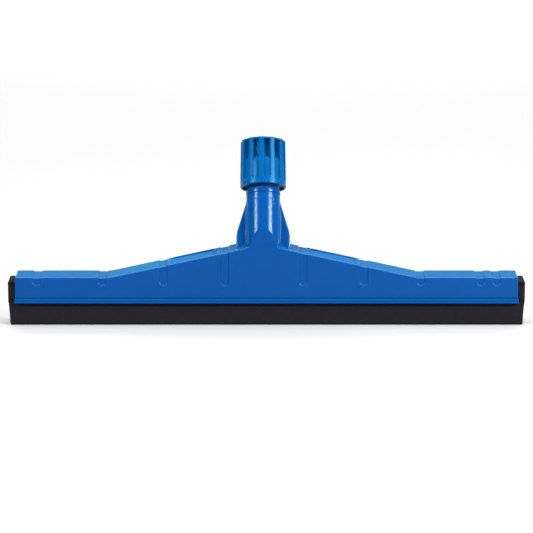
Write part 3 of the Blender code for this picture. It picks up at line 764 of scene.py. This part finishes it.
def build_collar(material):
    """Fluted collar as one skin: up the outside, over the top, and down the mouth, cavity and thread."""
    azimuths = collar_azimuths()
    rings = []
    for height in collar_heights():
        radius = COLLAR_FOOT_RADIUS + (COLLAR_TOP_RADIUS - COLLAR_FOOT_RADIUS) * height / COLLAR_HEIGHT
        end = max(COLLAR_EDGE - height, height - COLLAR_HEIGHT + COLLAR_EDGE, 0.0)
        inset = COLLAR_EDGE - math.sqrt(COLLAR_EDGE ** 2 - end ** 2)
        rings.append(ring_at(height, radius * (1 - flute_cut(azimuths, height)) - inset, azimuths))
    mean = THREAD_MEAN_RADIUS + THREAD_CLEARANCE
    crest = mean + THREAD_HALF_HEIGHT
    thread_top = COLLAR_THREAD[1] - COLLAR_FOOT + COLLAR_CHAMFER
    soft = COLLAR_SOFT
    above = rounded(((COLLAR_MOUTH_RADIUS + COLLAR_CHAMFER, COLLAR_HEIGHT, soft),
                     (COLLAR_MOUTH_RADIUS, COLLAR_HEIGHT - COLLAR_CHAMFER, soft),
                     (COLLAR_MOUTH_RADIUS, COLLAR_SHOULDER, soft),
                     (COLLAR_CAVITY_RADIUS, COLLAR_SHOULDER, soft),
                     (COLLAR_CAVITY_RADIUS, thread_top, 0.0)), steps=4)
    start = int(np.argmax(above[:, 1] > COLLAR_HEIGHT - soft))
    for radius, height in above[start:]:
        rings.append(ring_at(height, np.full(len(azimuths), radius), azimuths))
    for height, radius_at in reversed(thread_levels(mean, crest, COLLAR_THREAD)):
        rings.append(ring_at(height - COLLAR_FOOT, radius_at(azimuths), azimuths))
    thread_foot = COLLAR_THREAD[0] - COLLAR_FOOT
    below = rounded(((crest, thread_foot, 0.0), (crest, thread_foot - COLLAR_CHAMFER, soft),
                     (COLLAR_ENTRY_RADIUS, COLLAR_ENTRY_DEPTH, soft), (COLLAR_ENTRY_RADIUS, 0.0, soft),
                     (COLLAR_FOOT_RADIUS - COLLAR_EDGE, 0.0, 0.0)), steps=4)
    for radius, height in below[1:-1]:
        rings.append(ring_at(height, np.full(len(azimuths), radius), azimuths))
    points = np.array(rings).reshape(-1, 3) + np.array((0.0, 0.0, COLLAR_FOOT))
    new_piece("collar_shell", place(points, SOCKET_FRAME),
              skin_faces(len(rings), len(azimuths), looped=True), material,
              "collar", "collar_nut", sharp_degrees=50.0)


# ---------------------------------------------------------------- blade insert

def foam_profile():
    """Heights up a foam strip, with how far its outer face, inner face and ends are drawn in at each."""
    lip_foot = FRAME_BOTTOM + LIP_LOW - GAP
    lip_head = FRAME_BOTTOM + LIP_HIGH + GAP
    taper = LIP_TOP - LIP_HIGH
    edge = 1 - np.cos(np.linspace(0, math.pi / 2, 9))
    heights = np.unique(np.round(np.concatenate([
        FOAM_EDGE * edge, np.linspace(FOAM_EDGE, lip_foot - taper, 14),
        np.linspace(lip_foot - taper, lip_head + taper, 20),
        np.linspace(lip_head + taper, FOAM_TOP - 0.001, 7), FOAM_TOP - FOAM_TOP_ROUND * edge[::2]]), 7))
    low = np.maximum(FOAM_EDGE - heights, 0.0)
    foot = FOAM_EDGE - np.sqrt(FOAM_EDGE ** 2 - low ** 2)
    high = np.clip(heights - FOAM_TOP + FOAM_TOP_ROUND, 0.0, FOAM_TOP_ROUND)
    top = FOAM_TOP_ROUND - np.sqrt(FOAM_TOP_ROUND ** 2 - high ** 2)
    grooved = (smooth_step((heights - lip_foot + taper) / taper)
               * smooth_step((lip_head + taper - heights) / taper))
    outer = foot + top + FOAM_GROOVE * grooved
    inner = FOAM_INNER_ROUNDING * foot + top
    ends = FOAM_DRAW_IN * np.sqrt(np.maximum(1 - heights / CORE_FOOT, 0.0)) + FOAM_END_ROUNDING * foot + top
    return heights, outer, inner, ends


def build_foam(name, node, outer_face, inner_face, phase, material):
    """One foam strip: rounded edges, the groove for the frame's lip, and a faint wave in its free part."""
    inwards = 1 if inner_face > outer_face else -1
    reach = BLADE_LENGTH / 2 - FOAM_SIDE_MARGIN
    flat = np.linspace(-reach, reach, FOAM_COLUMNS)
    corner = FOAM_CORNER * (1 - np.cos(np.linspace(0, math.pi / 2, 5)))
    rings = []
    for height, outer, inner, ends in zip(*foam_profile()):
        half = BLADE_LENGTH / 2 - ends
        along = np.concatenate([[-half], -half + corner[1:], flat, (half - corner[1:])[::-1], [half]])
        near_end = np.maximum(FOAM_CORNER - (half - np.abs(along)), 0.0)
        turn_in = FOAM_CORNER - np.sqrt(np.maximum(FOAM_CORNER ** 2 - near_end ** 2, 0.0))
        free = max(0.0, 1 - height / FOAM_WAVE_TOP) * min(1.0, height / FOAM_EDGE)
        wave = FOAM_WAVE * free * (1 + np.sin(FOAM_WAVE_ALONG * along + phase + FOAM_WAVE_UP * height))
        outside = outer_face + inwards * (outer + turn_in + wave)
        inside = inner_face - inwards * (inner + turn_in + wave)
        there = np.column_stack([along, FRONT_Y + outside, np.full(len(along), height)])
        back = np.column_stack([along, FRONT_Y + inside, np.full(len(along), height)])[::-1]
        ring = np.vstack([there, back])
        rings.append(ring if inwards == 1 else ring[::-1])
    points = np.array(rings)
    faces = skin_faces(len(rings), points.shape[1], capped=True)
    piece = new_piece(name, points.reshape(-1, 3), faces, material, "blade_insert", node,
                      sharp_degrees=60.0)


def build_carrier(material):
    """T-shaped core of the insert: soft edges, and its plate rounded down at both ends."""
    plate_foot = INSERT_HEIGHT - PLATE_THICKNESS
    near = WALL + GAP
    far = FRAME_DEPTH - WALL - GAP
    middle = FRAME_DEPTH / 2
    half = CORE_THICKNESS / 2
    corners = ((near, plate_foot), (near, INSERT_HEIGHT), (far, INSERT_HEIGHT), (far, plate_foot),
               (middle + half, plate_foot), (middle + half, CORE_FOOT), (middle - half, CORE_FOOT),
               (middle - half, plate_foot))
    outline = rounded([(*corner, CARRIER_SOFT) for corner in corners], steps=4)
    turns = np.linspace(0, math.pi / 2, 9)
    reach = BLADE_LENGTH / 2 - PLATE_CORNER * (1 - np.sin(turns))
    drop = PLATE_CORNER * (1 - np.cos(turns))
    stations = [(-x, d) for x, d in zip(reach[::-1], drop[::-1])]
    stations += [(x, 0.0) for x in np.linspace(-reach[0], reach[0], CARRIER_SECTIONS)[1:-1]]
    stations += list(zip(reach, drop))
    rings = []
    for x, drop_here in stations:
        share = np.clip((outline[:, 1] - plate_foot) / PLATE_THICKNESS, 0.0, 1.0)
        height = outline[:, 1] - drop_here * share
        rings.append(np.column_stack([np.full(len(outline), x), FRONT_Y + outline[:, 0], height]))
    faces = skin_faces(len(rings), len(outline), capped=True, turned_over=True)
    new_piece("carrier_core", np.array(rings).reshape(-1, 3), faces, material,
              "blade_insert", "blade_carrier")


# ---------------------------------------------------------------- materials

def add_noise(material, where, scale, detail, distortion):
    """Noise over the piece's own coordinates, as a value between 0 and 1."""
    noise = material.node_tree.nodes.new("ShaderNodeTexNoise")
    noise.inputs["Scale"].default_value = scale
    noise.inputs["Detail"].default_value = detail
    noise.inputs["Distortion"].default_value = distortion
    material.node_tree.links.new(where.outputs["Object"], noise.inputs["Vector"])
    return noise.outputs["Fac"]


def moulded(name, look, haze=NO_TINT, gleam=WHITE):
    """Moulded plastic or rubber: fine grain, slight mottling, rubbed patches, and paler convex edges that are
    partly wear and partly a painted highlight.

    haze tints the sheen that the surface takes on at a grazing angle and the painted highlight on its edges,
    and gleam tints its highlights.
    """
    colour, roughness, specular, grain_depth = look
    material = bpy.data.materials.new(name)
    material.use_nodes = True
    nodes = material.node_tree.nodes
    links = material.node_tree.links
    shader = nodes["Principled BSDF"]
    shader.inputs["Specular IOR Level"].default_value = specular
    shader.inputs["Specular Tint"].default_value = (*gleam, 1.0)
    shader.inputs["Sheen Weight"].default_value = max(haze)
    shader.inputs["Sheen Roughness"].default_value = HAZE_ROUGHNESS
    shader.inputs["Sheen Tint"].default_value = (*[h / max(max(haze), GAP) for h in haze], 1.0)
    where = nodes.new("ShaderNodeTexCoord")

    tint = nodes.new("ShaderNodeMix")
    tint.data_type = "RGBA"
    tint.inputs["A"].default_value = (*[c * (1 - MOTTLE) for c in colour], 1.0)
    tint.inputs["B"].default_value = (*[c * (1 + MOTTLE) for c in colour], 1.0)
    links.new(add_noise(material, where, *MOTTLE_NOISE), tint.inputs["Factor"])

    # Painted highlight on convex edges, which also stands for wear: where pointiness is high the base colour
    # turns paler and takes on some of the haze tint
    geometry = nodes.new("ShaderNodeNewGeometry")
    edges = nodes.new("ShaderNodeMapRange")
    edges.inputs["From Min"].default_value = EDGE_WEAR_AND_HIGHLIGHT_FROM
    edges.inputs["From Max"].default_value = EDGE_WEAR_AND_HIGHLIGHT_TO
    edges.inputs["To Max"].default_value = EDGE_WEAR_AND_HIGHLIGHT_SHARE
    links.new(geometry.outputs["Pointiness"], edges.inputs["Value"])
    worn_and_highlit_colour = nodes.new("ShaderNodeMix")
    worn_and_highlit_colour.data_type = "RGBA"
    worn_and_highlit_colour.inputs["B"].default_value = (*[EDGE_WEAR_AND_HIGHLIGHT_PALER * c + EDGE_WEAR_AND_HIGHLIGHT_HAZE * h for c, h in zip(colour, haze)], 1.0)
    links.new(edges.outputs["Result"], worn_and_highlit_colour.inputs["Factor"])
    links.new(tint.outputs["Result"], worn_and_highlit_colour.inputs["A"])
    links.new(worn_and_highlit_colour.outputs["Result"], shader.inputs["Base Color"])

    rub = nodes.new("ShaderNodeMapRange")
    rub.inputs["From Min"].default_value = SCUFF_RANGE[0]
    rub.inputs["From Max"].default_value = SCUFF_RANGE[1]
    rub.inputs["To Min"].default_value = roughness - SCUFF_SMOOTHER
    rub.inputs["To Max"].default_value = roughness + SCUFF_ROUGHER
    links.new(add_noise(material, where, *SCUFF_NOISE), rub.inputs["Value"])
    links.new(rub.outputs["Result"], shader.inputs["Roughness"])

    bump = nodes.new("ShaderNodeBump")
    bump.inputs["Strength"].default_value = 1.0
    bump.inputs["Distance"].default_value = grain_depth
    links.new(add_noise(material, where, *GRAIN_NOISE), bump.inputs["Height"])
    links.new(bump.outputs["Normal"], shader.inputs["Normal"])
    return material


# ---------------------------------------------------------------- studio

def add_floor():
    """Plain pale floor, which the lights bring up to the white of the photograph's background."""
    material = bpy.data.materials.new("floor_white")
    material.use_nodes = True
    shader = material.node_tree.nodes["Principled BSDF"]
    shader.inputs["Base Color"].default_value = (*FLOOR_COLOUR, 1.0)
    shader.inputs["Roughness"].default_value = FLOOR_ROUGHNESS
    shader.inputs["Specular IOR Level"].default_value = FLOOR_SPECULAR
    half = FLOOR_HALF
    corners = [(-half, -half, 0.0), (half, -half, 0.0), (half, half, 0.0), (-half, half, 0.0)]
    data = bpy.data.meshes.new("floor")
    data.from_pydata(corners, [], [(0, 1, 2, 3)])
    data.materials.append(material)
    floor = bpy.data.objects.new("floor", data)
    bpy.context.scene.collection.objects.link(floor)


def add_area_light(name, size, watts, location):
    """Rectangular light that faces down until it is turned."""
    data = bpy.data.lights.new(name, "AREA")
    data.shape = "RECTANGLE"
    data.size, data.size_y = size
    data.energy = watts
    light = bpy.data.objects.new(name, data)
    light.location = location
    bpy.context.scene.collection.objects.link(light)
    return light


def add_softbox(name, azimuth_degrees, elevation_degrees, distance, width, height, watts, roll_degrees):
    """Light that faces the neck's foot. Azimuth 0 is in front, and counts towards +X."""
    azimuth = math.radians(azimuth_degrees)
    elevation = math.radians(elevation_degrees)
    towards = Vector((math.sin(azimuth) * math.cos(elevation), -math.cos(azimuth) * math.cos(elevation),
                      math.sin(elevation)))
    target = Vector((NECK_X, FRONT_Y, NECK_HEIGHT))
    light = add_area_light(name, (width, height), watts, target + towards * distance)
    roll = Matrix.Rotation(math.radians(roll_degrees), 3, "Z")
    light.rotation_euler = (towards.to_track_quat("Z", "Y").to_matrix() @ roll).to_euler()


def light_studio():
    """Softboxes, an even world, and a large light over the floor behind, for a pale background."""
    for softbox in SOFTBOXES:
        add_softbox(*softbox)
    add_area_light("back_softbox", BACK_LIGHT_SIZE, BACK_LIGHT_WATTS, BACK_LIGHT_PLACE)
    world = bpy.data.worlds.new("studio")
    world.use_nodes = True
    background = world.node_tree.nodes["Background"]
    background.inputs["Color"].default_value = (1.0, 1.0, 1.0, 1.0)
    background.inputs["Strength"].default_value = WORLD_STRENGTH
    bpy.context.scene.world = world
    bpy.context.scene.view_settings.view_transform = "Standard"


def add_camera():
    data = bpy.data.cameras.new("camera")
    data.lens = LENS_MM
    data.sensor_width = SENSOR_MM
    data.clip_end = VIEW_CLIP_END
    camera = bpy.data.objects.new("camera", data)
    away = Vector((0.0, -math.cos(VIEW_ELEVATION), math.sin(VIEW_ELEVATION)))
    camera.location = Vector((0.0, FRONT_Y, VIEW_HEIGHT)) + away * VIEW_DISTANCE
    camera.rotation_euler = (math.pi / 2 - VIEW_ELEVATION, 0.0, 0.0)
    bpy.context.scene.collection.objects.link(camera)
    bpy.context.scene.camera = camera


# ---------------------------------------------------------------- assembly

def main():
    build_frame(moulded("frame_blue", FRAME_LOOK, HAZE, FRAME_GLEAM))
    build_bush(moulded("bush_blue", FRAME_LOOK, HAZE, FRAME_GLEAM))
    build_collar(moulded("collar_blue", COLLAR_LOOK, HAZE, COLLAR_GLEAM))
    build_clamp_ring(moulded("clamp_white", CLAMP_LOOK))
    rubber = moulded("foam_black", FOAM_LOOK)
    near = WALL + GAP
    far = FRAME_DEPTH - near
    build_foam("front_foam", "front_foam_blade", near, near + FOAM_THICKNESS, FRONT_WAVE_PHASE, rubber)
    build_foam("rear_foam", "rear_foam_blade", far, far - FOAM_THICKNESS, REAR_WAVE_PHASE, rubber)
    build_carrier(moulded("carrier_black", CARRIER_LOOK))
    add_floor()
    light_studio()
    add_camera()


main()
